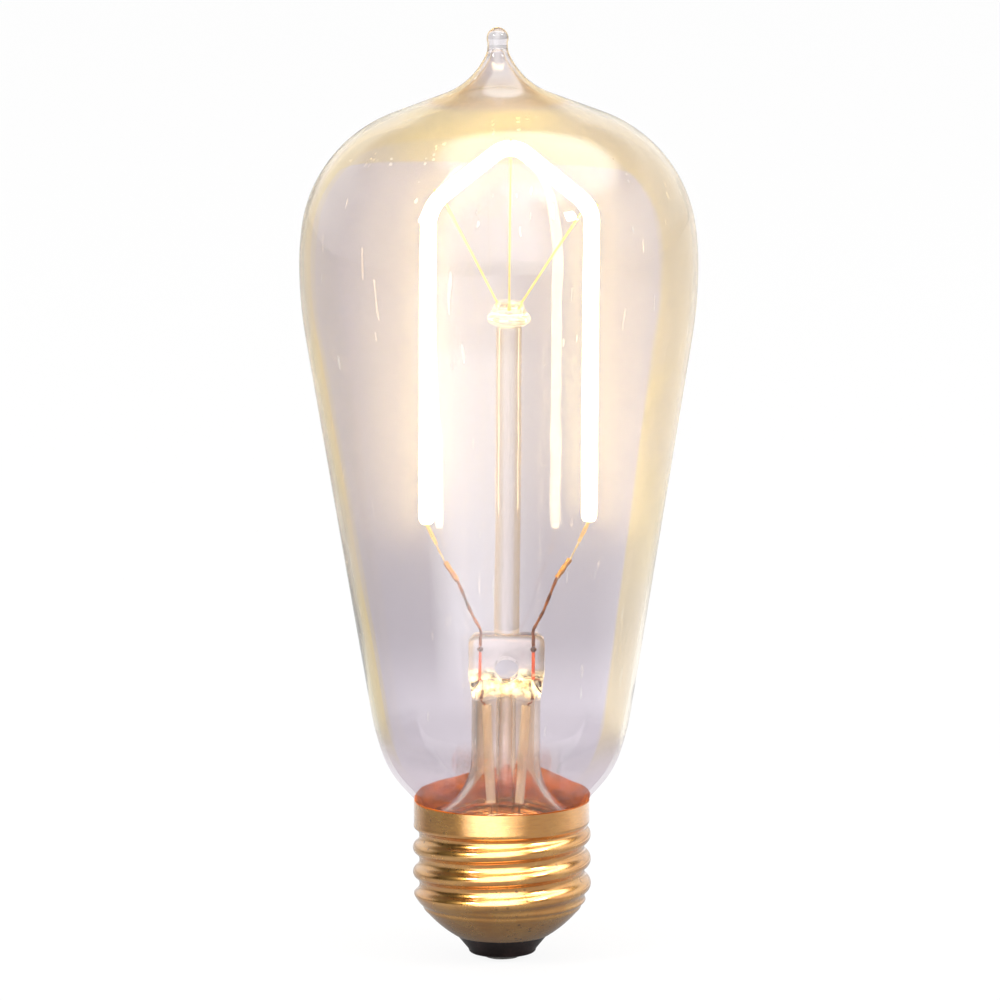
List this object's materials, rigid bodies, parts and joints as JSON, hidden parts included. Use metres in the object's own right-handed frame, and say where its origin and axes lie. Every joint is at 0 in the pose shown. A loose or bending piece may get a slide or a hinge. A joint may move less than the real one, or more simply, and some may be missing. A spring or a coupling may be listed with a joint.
{
  "type": "filament lamp",
  "caption": "Clear pear-shaped glass lamp with a drawn tip, a hairpin flexible LED filament on hook wires, and a brass medium screw base.",
  "frame": {"origin": "on the lamp's axis at the lowest plane of the centre contact", "axes": "+Z along the axis from the contact to the glass tip; -Y is the front, from which the two legs of the filament are seen side by side"},
  "size_m": [0.058, 0.058, 0.1372],
  "materials": {
    "bulb_glass": "clear blown glass with a faint amber lustre",
    "stem_glass": "clear drawn and pressed glass",
    "hook_wire": "thin golden wire",
    "flex_strip": "flexible printed strip",
    "led_chip": "small pale chips",
    "phosphor_silicone": "translucent yellow silicone, glowing warm white",
    "gold_tab": "thin gold-plated strip",
    "tail_wire": "thin pale wire",
    "crimp_metal": "flattened crimp",
    "lead_wire": "brown oxidised nickel-iron wire",
    "seal_wire": "red-orange borated copper-clad wire",
    "lead_sleeve": "beige insulating sleeve",
    "cement": "orange-brown capping cement",
    "shell_brass": "rolled brass, polished and finely scratched",
    "black_insulator": "glossy black fused insulator",
    "contact_plate": "tinned contact plate",
    "solder": "soft solder",
    "circuit_board": "green board",
    "chip_body": "black moulded package",
    "capacitor_case": "dark blue sleeve",
    "resistor_body": "tan lacquer"
  },
  "bodies": {
    "root": {"glass_envelope": "bulb_glass", "stem_tube": "stem_glass", "exhaust_tube": "stem_glass", "arbor_rod": "stem_glass", "arbor_button": "stem_glass", "support_wire_left": "hook_wire", "support_wire_top": "hook_wire", "support_wire_right": "hook_wire", "filament_strip": "flex_strip", "led_chips": "led_chip", "phosphor_coat": "phosphor_silicone", "filament_tab_left": "gold_tab", "filament_tab_right": "gold_tab", "tail_wire_left": "tail_wire", "tail_wire_right": "tail_wire", "lead_crimp_left": "crimp_metal", "lead_crimp_right": "crimp_metal", "inner_lead_left": "lead_wire", "inner_lead_right": "lead_wire", "seal_wire_left": "seal_wire", "seal_wire_right": "seal_wire", "outer_lead_left": "lead_wire", "outer_lead_right": "lead_wire", "lead_sleeve_left": "lead_sleeve", "lead_sleeve_right": "lead_sleeve", "base_cement": "cement", "screw_shell": "shell_brass", "base_insulator": "black_insulator", "contact_disc": "contact_plate", "contact_solder": "solder", "driver_board": "circuit_board", "bridge_rectifier": "chip_body", "driver_chip": "chip_body", "smoothing_capacitor": "capacitor_case", "fuse_resistor": "resistor_body", "contact_lead": "contact_plate", "shell_lead": "contact_plate", "shell_solder": "solder", "board_solder": "solder"}
  },
  "joints": []
}
